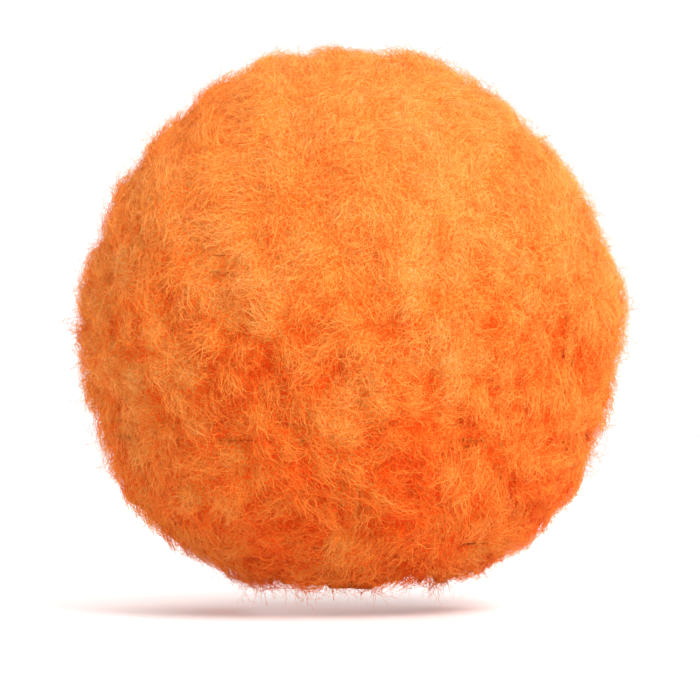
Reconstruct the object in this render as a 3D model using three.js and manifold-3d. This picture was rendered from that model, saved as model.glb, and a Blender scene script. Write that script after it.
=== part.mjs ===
// Costume wig: a big round ball of frizzy orange hair on an open, sewn cap.
//
// Millimetres. +Z is up, the face opening looks towards -Y, and +X is the wearer's left.
// The origin is the middle of the flat underside of the crown lining, where the wig lies on the head.
//
// The head that the cap fits is two half ellipsoids that share one widest outline. Every cap piece is
// a thin layer of that shape, so many millimetres outside it (or, with a minus, inside it), which is
// then trimmed to its own outline. The hair is a ball with the head, the neck and the face left free,
// cut into the tufts that each stretch of sewn rows carries.

import * as THREE from "three";
import { mergeVertices } from "three/addons/utils/BufferGeometryUtils.js";
import Module from "manifold-3d";

const wasm = await Module();
wasm.setup();

// ---------------------------------------------------------------- driving dimensions

const HEAD = {
  halfBreadth: 77.5,
  halfLength: 97,
  top: 1.6, // how far the round head would stand over the flat of the lining
  widest: -95, // height of the widest outline
  lowerDepth: 140, // half height of the lower half ellipsoid
  segments: 36,
  rings: 22,
};

// Each layer's inner and outer face, as distances outside the head.
const LAYER = {
  lining: [-3, 1.8],
  band: [0.3, 1.9],
  strap: [0.9, 1.9],
  patch: [2.2, 3.4],
  track: [2.2, 4.2],
  stay: [2.3, 3.1],
  loops: [-1.4, 0],
  elastic: [-3.2, -2.2],
  label: [-0.9, -0.1],
};
const HAIR_INSIDE = 4.6; // where the hair starts
const GAP = 0.4; // between pieces that touch

const LINING_RADIUS = 25;
const PATCH_RADIUS = 32;
const STRAP_WIDTH = 9;
const BAND_WIDTH = 20;
const TRACK_WIDTH = 5;

// The cap's edge seen from the side: [y, z] from the forehead, over the ear, to the nape.
const RIM = [
  [-140, -50],
  [-88, -56],
  [-62, -78],
  [-25, -102],
  [12, -112],
  [40, -136],
  [66, -164],
  [86, -171],
  [140, -172],
];
const RIM_RISE = [0.5, 0.87]; // the way across the bands, in y and z

// Where the front band ends and where the nape band starts.
const FRONT_SEAM = -56;
const NAPE_SEAM = 40;

const EAR_TAB = { front: -55, back: -27, bottom: -136, cornerRadius: 9, hingeGap: 1.5 };
const STAY = { width: 6, endGap: 6 };

// The nape's curve, as the circle that the adjusters run round.
const NAPE = { centreY: 31, radius: 54.7, height: -160 };
const ADJUSTER = {
  tapeHeight: 8,
  elasticFrom: 60, // bearings from the back, in degrees
  hookFrom: 36,
  hookTo: 29,
  loopsFrom: 27,
  loopsTo: 4,
};
const LOOP_RUNGS = 5;
const HOOK = {
  plateHeight: 9,
  plateThick: 1.2,
  lipDepth: 1.2,
  lipTurn: 1.3, // degrees
  slotTurn: 1.9,
  slotWidth: 1.6,
  slotHeight: 6,
};

const LABEL = { halfWidth: 13, top: -124, bottom: -147 };

// The ball of hair: [half width, height] down its outline.
const BALL = [
  [0, 134],
  [44, 128],
  [80, 115],
  [123, 84],
  [169, 29],
  [189, -18],
  [197, -58],
  [192, -105],
  [180, -151],
  [165, -184],
  [139, -216],
  [103, -241],
  [60, -255],
  [0, -257],
];
const BALL_DEPTH = 0.93; // depth over width
const BALL_BACK = 20; // how far the ball's middle is behind the head's
const BALL_SEGMENTS = 36;

const NECK = { halfBreadth: 66, halfLength: 72, y: 5 };
const FACE = {
  halfWidth: 74,
  flare: 1.42, // how much wider the opening is at its front
  from: -18,
  to: -230,
  middle: -140,
  tall: 1.16,
};

// The sewn rows: one along the cap's edge, and these across it. Heights at the back and the front.
const ROWS = 10;
const ROW_BACK = [-13, -152];
const ROW_FRONT = [-9, -112];

// Straps by their bearing from the back, in degrees towards the wearer's left.
const STRAP_BEARINGS = { back: 20, side_back: 60, side_front: 108, front: 153 };

// Tiers of hair by the angle above the head's middle, and how each is shared out by bearing.
const TIER_FLOORS = { crown: 58, upper: 20, middle: -14, lower: -46, nape: -90 };
const TIER_SECTORS = {
  crown: {},
  upper: { back: [0, 52], side: [52, 122], front: [122, 180] },
  middle: { back: [0, 52], side: [52, 100], temple: [100, 170] },
  lower: { back: [0, 58], side: [58, 170] },
  nape: { hair: [0, 170] },
};

const FAR = 500;
const DEG = Math.PI / 180;

// ---------------------------------------------------------------- materials

const paint = (color, roughness, metalness = 0) =>
  new THREE.MeshStandardMaterial({ color, roughness, metalness });

const MATERIAL = {
  hair: paint(0xf07020, 0.8),
  track: paint(0xd85a12, 0.85),
  tape: paint(0x2a2523, 0.8),
  net: paint(0x332c29, 0.85),
  lining: paint(0x4a403b, 0.9),
  elastic: paint(0x3a3532, 0.75),
  plastic: paint(0x1c1b1b, 0.4),
  steel: paint(0xb4b6b8, 0.35, 1),
  label: paint(0xf2efe8, 0.7),
};

// ---------------------------------------------------------------- solids

function solidOf(geometry) {
  const bare = geometry.clone();
  bare.deleteAttribute("normal");
  bare.deleteAttribute("uv");
  const merged = mergeVertices(bare, 1e-4);
  const mesh = new wasm.Mesh({
    numProp: 3,
    vertProperties: new Float32Array(merged.attributes.position.array),
    triVerts: new Uint32Array(merged.index.array),
  });
  return new wasm.Manifold(mesh);
}

function geometryOf(solid) {
  const mesh = solid.getMesh();
  const geometry = new THREE.BufferGeometry();
  geometry.setAttribute("position", new THREE.BufferAttribute(mesh.vertProperties, 3));
  geometry.setIndex(new THREE.BufferAttribute(mesh.triVerts, 1));
  geometry.computeVertexNormals();
  return geometry;
}

const largestBody = (solid) =>
  solid.decompose().reduce((best, body) => (body.volume() > best.volume() ? body : best));

// The head's shape, grown by so many millimetres.
function headSolid(grow) {
  const ball = new THREE.SphereGeometry(1, HEAD.segments, HEAD.rings);
  ball.rotateX(90 * DEG);
  const place = ball.attributes.position;
  const upper = HEAD.top - HEAD.widest + grow;
  const lower = HEAD.lowerDepth + grow;
  for (let i = 0; i < place.count; i++) {
    const z = place.getZ(i);
    place.setXYZ(
      i,
      place.getX(i) * (HEAD.halfBreadth + grow),
      place.getY(i) * (HEAD.halfLength + grow),
      HEAD.widest + z * (z > 0 ? upper : lower),
    );
  }
  return solidOf(ball);
}

const layerSolid = ([inside, outside]) => headSolid(outside).subtract(headSolid(inside));

function boxSolid([x0, x1], [y0, y1], [z0, z1]) {
  const box = new THREE.BoxGeometry(x1 - x0, y1 - y0, z1 - z0);
  box.translate((x0 + x1) / 2, (y0 + y1) / 2, (z0 + z1) / 2);
  return solidOf(box);
}

const SIDE_VIEW = new THREE.Matrix4().makeBasis(
  new THREE.Vector3(0, 1, 0),
  new THREE.Vector3(0, 0, 1),
  new THREE.Vector3(1, 0, 0),
);

// An outline drawn from the side, in y and z, as a block from x = from to x = to.
function sideBlock(shape, from = -FAR, to = FAR) {
  const block = new THREE.ExtrudeGeometry(shape, {
    depth: to - from,
    bevelEnabled: false,
    curveSegments: 6,
  });
  block.translate(0, 0, from);
  block.applyMatrix4(SIDE_VIEW);
  return solidOf(block);
}

// All that is above the cap's edge, or above a line so many millimetres up from it.
function aboveRim(rise) {
  const points = RIM.map(
    ([y, z]) => new THREE.Vector2(y + rise * RIM_RISE[0], z + rise * RIM_RISE[1]),
  );
  const line = new THREE.SplineCurve(points).getPoints(32);
  const last = line[line.length - 1];
  const shape = new THREE.Shape(line);
  shape.lineTo(last.x, FAR);
  shape.lineTo(line[0].x, FAR);
  shape.closePath();
  return sideBlock(shape);
}

// A round column about the z axis, widened front to back as the head is.
function column(radius) {
  const round = new THREE.CylinderGeometry(radius, radius, 2 * FAR, HEAD.segments);
  round.rotateX(90 * DEG);
  round.scale(1, HEAD.halfLength / HEAD.halfBreadth, 1);
  return solidOf(round);
}

// A wedge between two bearings from the back, pulled in by half a gap on each side.
function wedge(from, to) {
  const half = ((to - from) / 2) * DEG;
  const middle = ((to + from) / 2) * DEG;
  const shift = GAP / 2 / Math.sin(half);
  const at = (bearing, radius) =>
    new THREE.Vector2(Math.sin(bearing) * radius, Math.cos(bearing) * radius);
  const tip = at(middle, shift);
  const corner = (bearing) => at(bearing, FAR).add(tip);
  const shape = new THREE.Shape([tip, corner(to * DEG), corner(middle), corner(from * DEG)]);
  const block = new THREE.ExtrudeGeometry(shape, { depth: 2 * FAR, bevelEnabled: false });
  block.translate(0, 0, -FAR);
  return solidOf(block);
}

const mirrorX = (solid) => solid.mirror([1, 0, 0]);

// ---------------------------------------------------------------- assembly

const wig = new THREE.Group();
wig.name = "costume_wig";

function addPiece(parent, name, solid, material) {
  const mesh = new THREE.Mesh(geometryOf(largestBody(solid)), material);
  mesh.name = name;
  parent.add(mesh);
  return mesh;
}

// A piece for the wearer's left, and its mirror image for the right.
function addPair(parent, name, solid, material) {
  addPiece(parent, "left_" + name, solid, material);
  addPiece(parent, "right_" + name, mirrorX(solid), material);
}

const cap = new THREE.Group();
const hair = new THREE.Group();
wig.add(cap, hair);

const LEFT_SIDE = boxSolid([0, FAR], [-FAR, FAR], [-FAR, FAR]);
const UPPER_HALF = boxSolid([-FAR, FAR], [-FAR, FAR], [HEAD.widest, FAR]);

// Crown lining, with the flat that rests on the head, and the closed patch over it.
function addCrown() {
  const liningSoft = layerSolid(LAYER.lining).intersect(column(LINING_RADIUS)).intersect(UPPER_HALF);
  const flat = boxSolid([-FAR, FAR], [-FAR, FAR], [0, FAR]);
  const skirt = layerSolid([0, LAYER.lining[1]]).intersect(column(LINING_RADIUS)).intersect(UPPER_HALF);
  addPiece(cap, "crown_lining", liningSoft.intersect(flat).add(skirt), MATERIAL.lining);
  const patch = layerSolid(LAYER.patch).intersect(column(PATCH_RADIUS)).intersect(UPPER_HALF);
  addPiece(cap, "crown_patch", patch, MATERIAL.net);
}

// The bound edge: front, sides and nape.
function addBands() {
  const strip = layerSolid(LAYER.band).intersect(aboveRim(0)).subtract(aboveRim(BAND_WIDTH));
  const between = (y0, y1) => boxSolid([-FAR, FAR], [y0, y1], [-FAR, FAR]);
  addPiece(cap, "front_band", strip.intersect(between(-FAR, FRONT_SEAM - GAP)), MATERIAL.tape);
  addPiece(cap, "nape_band", strip.intersect(between(NAPE_SEAM + GAP, FAR)), MATERIAL.elastic);
  const side = strip.intersect(between(FRONT_SEAM, NAPE_SEAM)).intersect(LEFT_SIDE);
  addPair(cap, "side_band", side, MATERIAL.tape);
}

// A rounded tongue seen from the side, from well above the edge down to the tab's bottom.
function tongue(y0, y1, bottom, radius) {
  const shape = new THREE.Shape();
  shape.moveTo(y0, 0);
  shape.lineTo(y0, bottom + radius);
  shape.absarc(y0 + radius, bottom + radius, radius, Math.PI, 1.5 * Math.PI, false);
  shape.absarc(y1 - radius, bottom + radius, radius, 1.5 * Math.PI, 2 * Math.PI, false);
  shape.lineTo(y1, 0);
  shape.closePath();
  return sideBlock(shape, 0, FAR);
}

// Ear tabs and the bendable stays in them.
function addEarTabs() {
  const { front, back, bottom, cornerRadius, hingeGap } = EAR_TAB;
  const cloth = layerSolid(LAYER.band)
    .intersect(tongue(front, back, bottom, cornerRadius))
    .subtract(aboveRim(-hingeGap));
  addPair(cap, "ear_tab", cloth, MATERIAL.tape);

  const middle = (front + back) / 2;
  const reach = STAY.width / 2;
  const outline = tongue(middle - reach, middle + reach, bottom + STAY.endGap, reach - 0.1);
  const stay = layerSolid(LAYER.stay).intersect(outline).subtract(aboveRim(-hingeGap - 2));
  addPair(cap, "ear_stay", stay, MATERIAL.steel);
}

// Stretch tapes from under the patch down to the bound edge.
function addStraps() {
  const field = layerSolid(LAYER.strap)
    .intersect(aboveRim(BAND_WIDTH + GAP))
    .subtract(column(LINING_RADIUS + GAP));
  for (const [place, bearing] of Object.entries(STRAP_BEARINGS)) {
    const slab = new THREE.BoxGeometry(STRAP_WIDTH, FAR, 2 * FAR);
    slab.translate(0, FAR / 2, 0);
    slab.rotateZ(-bearing * DEG);
    addPair(cap, place + "_strap", field.intersect(solidOf(slab)), MATERIAL.tape);
  }
}

// The header strips of the sewn rows of hair.
function addTracks() {
  const layer = layerSolid(LAYER.track);
  const edge = layer.intersect(aboveRim(0)).subtract(aboveRim(TRACK_WIDTH));
  addPiece(cap, "edge_track", edge, MATERIAL.track);

  const field = layer.intersect(aboveRim(TRACK_WIDTH + GAP)).subtract(column(PATCH_RADIUS + GAP));
  for (let row = 0; row < ROWS; row++) {
    const share = row / (ROWS - 1);
    const back = THREE.MathUtils.lerp(...ROW_BACK, share);
    const front = THREE.MathUtils.lerp(...ROW_FRONT, share);
    const slope = (back - front) / (2 * HEAD.halfLength);
    const at = (y, rise) => new THREE.Vector2(y, front + (y + HEAD.halfLength) * slope + rise);
    const slab = sideBlock(
      new THREE.Shape([at(-FAR, 0), at(FAR, 0), at(FAR, TRACK_WIDTH), at(-FAR, TRACK_WIDTH)]),
    );
    const number = String(row + 1).padStart(2, "0");
    addPiece(cap, "weft_track_" + number, field.intersect(slab), MATERIAL.track);
  }
}

// A wedge about the upright line that the adjusters turn round.
function napeWedge(from, to) {
  const corner = (bearing) =>
    new THREE.Vector2(Math.sin(bearing * DEG) * FAR, NAPE.centreY + Math.cos(bearing * DEG) * FAR);
  const shape = new THREE.Shape([new THREE.Vector2(0, NAPE.centreY), corner(to), corner(from)]);
  const block = new THREE.ExtrudeGeometry(shape, { depth: 2 * FAR, bevelEnabled: false });
  block.translate(0, 0, -FAR);
  return solidOf(block);
}

const tapeSlab = (height) =>
  boxSolid([-FAR, FAR], [0, FAR], [NAPE.height - height / 2, NAPE.height + height / 2]);

// A curved plate with a turned-in lip at its free end and a slot for the elastic at the other.
function hookSolid() {
  const { plateHeight, plateThick, lipDepth, lipTurn, slotTurn, slotWidth, slotHeight } = HOOK;
  const { hookFrom, hookTo } = ADJUSTER;
  const outer = NAPE.radius + LAYER.elastic[0] - GAP;
  const inner = outer - plateThick;
  const turn = (bearing) => (90 - bearing) * DEG;

  const plan = new THREE.Shape();
  plan.absarc(0, 0, outer, turn(hookFrom), turn(hookTo), false);
  plan.absarc(0, 0, inner - lipDepth, turn(hookTo), turn(hookTo + lipTurn), true);
  plan.absarc(0, 0, inner, turn(hookTo + lipTurn), turn(hookFrom), true);
  plan.closePath();
  const plate = new THREE.ExtrudeGeometry(plan, {
    depth: plateHeight,
    bevelEnabled: false,
    curveSegments: 5,
  });
  plate.translate(0, NAPE.centreY, NAPE.height - plateHeight / 2);

  const slot = new THREE.BoxGeometry(slotWidth, NAPE.radius, slotHeight);
  slot.translate(0, NAPE.radius, 0);
  slot.rotateZ(-(hookFrom - slotTurn) * DEG);
  slot.translate(0, NAPE.centreY, NAPE.height);
  return solidOf(plate).subtract(solidOf(slot));
}

// The elastics, their hooks and the tapes of loops, inside the nape band.
function addAdjusters() {
  const { tapeHeight, elasticFrom, hookFrom, loopsFrom, loopsTo } = ADJUSTER;
  const elastic = layerSolid(LAYER.elastic)
    .intersect(napeWedge(hookFrom + 0.6, elasticFrom))
    .intersect(tapeSlab(tapeHeight));
  addPair(cap, "adjuster_elastic", elastic, MATERIAL.elastic);
  addPair(cap, "adjuster_hook", hookSolid(), MATERIAL.plastic);

  const ground = layerSolid([LAYER.loops[1] - 0.6, LAYER.loops[1]]);
  let loops = ground.intersect(napeWedge(loopsTo, loopsFrom)).intersect(tapeSlab(tapeHeight));
  const rungs = layerSolid(LAYER.loops).intersect(tapeSlab(tapeHeight - 1));
  const pitch = (loopsFrom - loopsTo) / LOOP_RUNGS;
  for (let rung = 0; rung < LOOP_RUNGS; rung++) {
    const from = loopsTo + rung * pitch + pitch * 0.3;
    loops = loops.add(rungs.intersect(napeWedge(from, from + pitch * 0.4)));
  }
  addPair(cap, "loop_tape", loops, MATERIAL.tape);
}

function addLabel() {
  const { halfWidth, top, bottom } = LABEL;
  const label = layerSolid(LAYER.label).intersect(
    boxSolid([-halfWidth, halfWidth], [0, FAR], [bottom, top]),
  );
  addPiece(cap, "care_label", label, MATERIAL.label);
}

// The whole ball of hair, with the head, the neck and the face left free.
function hairBall() {
  const outline = new THREE.SplineCurve(BALL.map(([r, z]) => new THREE.Vector2(r, z)));
  const profile = outline.getPoints(26).map((p) => new THREE.Vector2(Math.max(p.x, 0), p.y));
  profile[0].x = 0;
  profile[profile.length - 1].x = 0;
  const ball = new THREE.LatheGeometry(profile.reverse(), BALL_SEGMENTS);
  ball.rotateX(90 * DEG);
  ball.scale(1, BALL_DEPTH, 1);
  ball.translate(0, BALL_BACK, 0);

  const neck = new THREE.CylinderGeometry(NECK.halfBreadth, NECK.halfBreadth, FAR, HEAD.segments);
  neck.rotateX(90 * DEG);
  neck.scale(1, NECK.halfLength / NECK.halfBreadth, 1);
  neck.translate(0, NECK.y, HEAD.widest - 50 - FAR / 2);

  const depth = FACE.from - FACE.to;
  const wide = FACE.halfWidth * FACE.flare;
  const face = new THREE.CylinderGeometry(FACE.halfWidth, wide, depth, HEAD.segments);
  face.scale(1, 1, FACE.tall);
  face.translate(0, (FACE.from + FACE.to) / 2, FACE.middle);

  const corner = Math.SQRT2;
  const chin = new THREE.CylinderGeometry(FACE.halfWidth * corner, wide * corner, depth, 4);
  chin.rotateY(45 * DEG);
  chin.scale(1, 1, 3);
  chin.translate(0, (FACE.from + FACE.to) / 2, FACE.middle);
  const chinSolid = solidOf(chin).intersect(boxSolid([-FAR, FAR], [-FAR, FAR], [-FAR, FACE.middle]));

  return solidOf(ball)
    .subtract(headSolid(HAIR_INSIDE))
    .subtract(solidOf(neck))
    .subtract(solidOf(face))
    .subtract(chinSolid);
}

// All that lies above a cone about the head's middle, at so many degrees, moved up by lift.
function aboveCone(angle, lift = 0) {
  const out = Math.cos(angle * DEG) * FAR;
  const up = Math.sin(angle * DEG) * FAR;
  const profile = [
    [0, lift],
    [out, up + lift],
    [out, 2 * FAR],
    [0, 2 * FAR],
  ].map(([r, z]) => new THREE.Vector2(r, z));
  const cone = new THREE.LatheGeometry(profile, BALL_SEGMENTS);
  cone.rotateX(90 * DEG);
  cone.translate(0, 0, HEAD.widest);
  return solidOf(cone);
}

function addHair() {
  let rest = hairBall();
  for (const [tier, floor] of Object.entries(TIER_FLOORS)) {
    const last = floor <= -90;
    const block = last ? rest : rest.intersect(aboveCone(floor));
    if (!last) rest = rest.subtract(aboveCone(floor, -GAP / Math.cos(floor * DEG)));
    const sectors = Object.entries(TIER_SECTORS[tier]);
    if (!sectors.length) addPiece(hair, tier + "_hair", block, MATERIAL.hair);
    for (const [sector, [from, to]] of sectors) {
      const label = sector === "hair" ? tier + "_hair" : tier + "_" + sector + "_hair";
      addPair(hair, label, block.intersect(wedge(from, to)), MATERIAL.hair);
    }
  }
}

addCrown();
addBands();
addEarTabs();
addStraps();
addTracks();
addAdjusters();
addLabel();
addHair();

export default wig;
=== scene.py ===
# %% [markdown]
# # A big round orange costume wig
#
# The wig is a ball of crimped fibre sewn in rows onto an open cap. This script keeps the imported part as
# its skeleton and gives each piece the surface of the real thing: hair made of single fibres, sewn
# headers, elastic tapes with ribs, a net crown, bound edges with stitches, and hooks on elastics.
#
# It starts by loading the part. Most pieces made later ride on one of the part's bodies, so that the
# hooks follow the adjusters when they move. The tab sleeves and the hooks' elastics are built in place.

import math

import bmesh
import bpy
import numpy as np
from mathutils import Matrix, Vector
from mathutils.bvhtree import BVHTree


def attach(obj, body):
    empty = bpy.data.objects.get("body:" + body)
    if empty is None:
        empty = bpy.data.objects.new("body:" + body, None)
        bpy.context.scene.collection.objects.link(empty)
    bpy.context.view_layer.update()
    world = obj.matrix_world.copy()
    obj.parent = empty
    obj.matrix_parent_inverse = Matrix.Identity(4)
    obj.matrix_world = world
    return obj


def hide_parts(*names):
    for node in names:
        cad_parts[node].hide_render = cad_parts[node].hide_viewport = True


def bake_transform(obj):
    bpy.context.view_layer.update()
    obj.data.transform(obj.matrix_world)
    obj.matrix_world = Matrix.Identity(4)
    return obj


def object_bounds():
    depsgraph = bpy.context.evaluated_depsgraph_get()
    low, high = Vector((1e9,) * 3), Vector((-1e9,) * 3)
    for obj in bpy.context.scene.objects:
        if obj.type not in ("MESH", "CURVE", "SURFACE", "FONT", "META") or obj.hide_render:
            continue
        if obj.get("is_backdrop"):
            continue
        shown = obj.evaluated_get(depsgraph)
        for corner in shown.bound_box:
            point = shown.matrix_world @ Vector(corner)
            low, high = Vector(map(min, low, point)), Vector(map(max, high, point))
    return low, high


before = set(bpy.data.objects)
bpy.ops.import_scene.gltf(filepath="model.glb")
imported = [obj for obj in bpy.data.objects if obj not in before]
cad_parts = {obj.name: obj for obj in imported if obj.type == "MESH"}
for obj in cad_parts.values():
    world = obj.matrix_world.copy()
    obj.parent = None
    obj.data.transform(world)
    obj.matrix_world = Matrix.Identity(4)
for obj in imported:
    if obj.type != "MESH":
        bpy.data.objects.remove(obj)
cad_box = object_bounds()
MM = 0.001

# %% [markdown]
# ## Camera, floor and light
#
# The wig is seen from straight behind at its own height through a long lens, which keeps the ball
# round. A pale floor lies just under the lowest locks. One large soft lamp high on the camera's right
# models the ball, a weaker one lights the face opening, and pale surroundings fill the shadows.

# %% Camera
WIG_MIDDLE = Vector((0.0, 0.02, -0.061))
VIEW_HEIGHT = -0.0846
FRAME_WIDTH = 0.504  # how much the camera takes in at the wig's middle
CAMERA_AWAY = 2.4
SENSOR_WIDTH = 36


def add_object(name, data):
    made = bpy.data.objects.new(name, data)
    bpy.context.scene.collection.objects.link(made)
    return made


def add_camera():
    data = bpy.data.cameras.new("camera")
    data.sensor_width = SENSOR_WIDTH
    data.lens = SENSOR_WIDTH * CAMERA_AWAY / FRAME_WIDTH
    camera = add_object("camera", data)
    camera.location = (0.0, WIG_MIDDLE.y + CAMERA_AWAY, VIEW_HEIGHT)
    camera.rotation_euler = (math.radians(90), 0, math.radians(180))
    bpy.context.scene.camera = camera
    return camera


camera = add_camera()
print("lens:", round(camera.data.lens), "mm")

# %% Floor
FLOOR_GAP = 0.016  # under the lowest hair solid, so that the longest stray ends clear it
FLOOR_SIZE = 12.0
FLOOR_COLOUR = (0.86, 0.86, 0.855, 1)


def add_floor():
    place = (0, 0, cad_box[0][2] - FLOOR_GAP)
    bpy.ops.mesh.primitive_plane_add(size=FLOOR_SIZE, location=place)
    floor = bpy.context.object
    floor.name = "floor"
    material = bpy.data.materials.new("floor")
    material.use_nodes = True
    surface = material.node_tree.nodes["Principled BSDF"]
    surface.inputs["Base Color"].default_value = FLOOR_COLOUR
    surface.inputs["Roughness"].default_value = 0.9
    floor.data.materials.append(material)
    floor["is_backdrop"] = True


add_floor()


# %% Lamps
def add_lamp(name, place, size, watts):
    data = bpy.data.lights.new(name, "AREA")
    data.shape = "DISK"
    data.size = size
    data.energy = watts
    lamp = add_object(name, data)
    lamp.location = place
    lamp.rotation_euler = (WIG_MIDDLE - lamp.location).to_track_quat("-Z", "Y").to_euler()


add_lamp("key", (-1.2, 1.5, 1.5), 1.3, 62)
add_lamp("front_fill", (-0.8, -1.9, 0.7), 1.5, 34)
world = bpy.data.worlds.new("studio")
world.use_nodes = True
background = world.node_tree.nodes["Background"]
background.inputs["Color"].default_value = (1, 1, 1, 1)
background.inputs["Strength"].default_value = 1.15
bpy.context.scene.world = world
bpy.context.scene.view_settings.view_transform = "Standard"  # keeps the dye's full strength

# %% [markdown]
# ## Shader maths
#
# A node tree is easier to read as a formula. `Wire` wraps a socket, so that `a * 2 + b` adds the Math
# nodes, and `Paint` wraps a material and adds any other node with one call.


# %% Wire and Paint
class Wire:
    """A value socket that adds Math nodes when it is used in a formula."""

    def __init__(self, paint, socket):
        self.paint, self.socket = paint, socket

    def apply(self, operation, *others, flip=False):
        values = (others[0], self) if flip else (self, *others)
        return self.paint.node("ShaderNodeMath", dict(operation=operation), list(values))

    def __add__(self, other):
        return self.apply("ADD", other)

    def __sub__(self, other):
        return self.apply("SUBTRACT", other)

    def __rsub__(self, other):
        return self.apply("SUBTRACT", other, flip=True)

    def __mul__(self, other):
        return self.apply("MULTIPLY", other)

    def __truediv__(self, other):
        return self.apply("DIVIDE", other)

    def __pow__(self, other):
        return self.apply("POWER", other)

    __radd__, __rmul__ = __add__, __mul__

    def sine(self):
        return self.apply("SINE")

    def size(self):
        return self.apply("ABSOLUTE")

    def clamp(self):
        return self.apply("MAXIMUM", 0.0).apply("MINIMUM", 1.0)


class Paint:
    """A node material, with its Principled shader and a call that adds any node."""

    def __init__(self, name, **constants):
        self.material = bpy.data.materials.new(name)
        self.material.use_nodes = True
        self.nodes = self.material.node_tree.nodes
        self.links = self.material.node_tree.links
        self.surface = self.nodes["Principled BSDF"]
        for socket, value in constants.items():
            self.surface.inputs[socket.replace("_", " ")].default_value = value

    def node(self, kind, settings=None, values=(), output=0):
        made = self.nodes.new(kind)
        for key, value in (settings or {}).items():
            if key == "stops":
                self._stops(made.color_ramp, value)
            else:
                setattr(made, key, value)
        pairs = values.items() if isinstance(values, dict) else enumerate(values)
        for key, value in pairs:
            self.put(made.inputs[key], value)
        return Wire(self, made.outputs[output])

    def _stops(self, ramp, stops):
        while len(ramp.elements) < len(stops):
            ramp.elements.new(1.0)
        for element, (place, colour) in zip(ramp.elements, stops):
            element.position = place
            element.color = (*colour, 1)

    def put(self, socket, value):
        if isinstance(value, Wire):
            self.links.new(value.socket, socket)
        else:
            socket.default_value = value

    def feed(self, socket, value):
        self.put(self.surface.inputs[socket], value)

    def place(self):
        return self.node("ShaderNodeTexCoord", output="Object")

    def noise(self, scale, detail=2.0, rough=0.5, vector=None, distortion=0.0):
        values = {"Scale": scale, "Detail": detail, "Roughness": rough, "Distortion": distortion}
        values["Vector"] = vector or self.place()
        return self.node("ShaderNodeTexNoise", None, values)

    def attribute(self, name):
        return self.node("ShaderNodeAttribute", dict(attribute_name=name), output="Fac")

    def ramp(self, value, stops):
        return self.node("ShaderNodeValToRGB", dict(stops=stops), [value])

    def bump(self, height, distance):
        values = {"Height": height, "Distance": distance}
        self.feed("Normal", self.node("ShaderNodeBump", None, values))


# %% [markdown]
# ## The head and the edge of the cap
#
# Everything inside the wig lies on a head, and an ellipsoid stands for it, deeper below its widest
# height than above. A place on the cap is a bearing round the head, a height, and a distance off the
# head. The cap's edge goes from the forehead past the ears to the nape, so it is a height for each
# place from front to back.

# %% The head that the cap fits
HALF_BREADTH, HALF_LENGTH = 0.0775, 0.097
UPPER_DEPTH, LOWER_DEPTH = 0.0966, 0.140
WIDEST = -0.095
HAIR_OFF_HEAD = 0.0046


def head_offset(points):
    """About how far each point is outside the head."""
    depth = np.where(points[:, 2] > WIDEST, UPPER_DEPTH, LOWER_DEPTH)
    axes = np.stack([np.full(len(points), HALF_BREADTH), np.full(len(points), HALF_LENGTH), depth], 1)
    share = (points - (0, 0, WIDEST)) / axes
    reach = np.linalg.norm(share, axis=1)
    gradient = np.linalg.norm(share / axes, axis=1) / np.maximum(reach, 1e-9)
    return (reach - 1) / np.maximum(gradient, 1e-9)


# %% Places on the cap and its edge
def cap_point(bearing, height, off):
    """The point at a bearing from the back towards the wearer's left, at a height, off the head."""
    depth = np.where(height > WIDEST, UPPER_DEPTH, LOWER_DEPTH) + off
    ring = np.sqrt(np.maximum(1 - ((height - WIDEST) / depth) ** 2, 0))
    reach = ring / np.hypot(np.sin(bearing) / (HALF_BREADTH + off), np.cos(bearing) / (HALF_LENGTH + off))
    return np.stack([reach * np.sin(bearing), reach * np.cos(bearing), height + 0 * reach], -1)


RIM_POINTS = MM * np.array(
    [(-140, -50), (-88, -56), (-62, -78), (-25, -102), (12, -112)]
    + [(40, -136), (66, -164), (86, -171), (140, -172)]
)  # from front to back: y and height
RIM_RISE = (0.5, 0.87)  # the way across the bands, in y and z


def smooth_line(points, steps=10):
    """A Catmull-Rom line through points."""
    p = np.concatenate([points[:1], points, points[-1:]])
    t = np.linspace(0, 1, steps, endpoint=False)[:, None]
    spans = []
    for a, b, c, d in zip(p, p[1:], p[2:], p[3:]):
        curve = 2 * b + (c - a) * t + (2 * a - 5 * b + 4 * c - d) * t**2 + (3 * b - a - 3 * c + d) * t**3
        spans.append(0.5 * curve)
    return np.concatenate([*spans, points[-1:]])


rim = smooth_line(RIM_POINTS)


def rim_height(y, rise):
    return np.interp(y - rise * RIM_RISE[0], rim[:, 0], rim[:, 1]) + rise * RIM_RISE[1]


# %% Lines round the cap
FIRST_HEIGHT = -0.08


def follow(bearing, line, off):
    """Points round the cap on a line that gives height by y. Each round comes closer to the line."""
    height = np.full(np.broadcast(bearing, off).shape, FIRST_HEIGHT)
    for _ in range(60):
        height = 0.6 * height + 0.4 * line(cap_point(bearing, height, off)[..., 1])
    return cap_point(bearing, height, off)


def bearing_at(y, line, off=0.001):
    """The bearing, on the wearer's left, where a line round the cap crosses a y."""
    low, high = 0.0, math.pi
    for _ in range(30):
        middle = (low + high) / 2
        if follow(np.array(middle), line, off)[1] > y:
            low = middle
        else:
            high = middle
    return middle


# %% [markdown]
# ## Where the hair may be
#
# The hair of a real wig is fibre sewn on in rows and teased out until it stands as a ball. The part
# holds that ball as plain blocks, one for each stretch of rows. Their outer walls say where the ball
# ends, so the fibres are grown on those walls. A wall that faces another block is a seam inside the
# hair, and carries none.

# %% Read the walls of the hair blocks
HAIR_NODES = sorted(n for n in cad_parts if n.endswith("_hair"))


def unit(vectors):
    return vectors / np.maximum(np.linalg.norm(vectors, axis=-1, keepdims=True), 1e-12)


def points_of(mesh):
    place = np.empty(len(mesh.vertices) * 3)
    mesh.vertices.foreach_get("co", place)
    return place.reshape(-1, 3)


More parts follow.
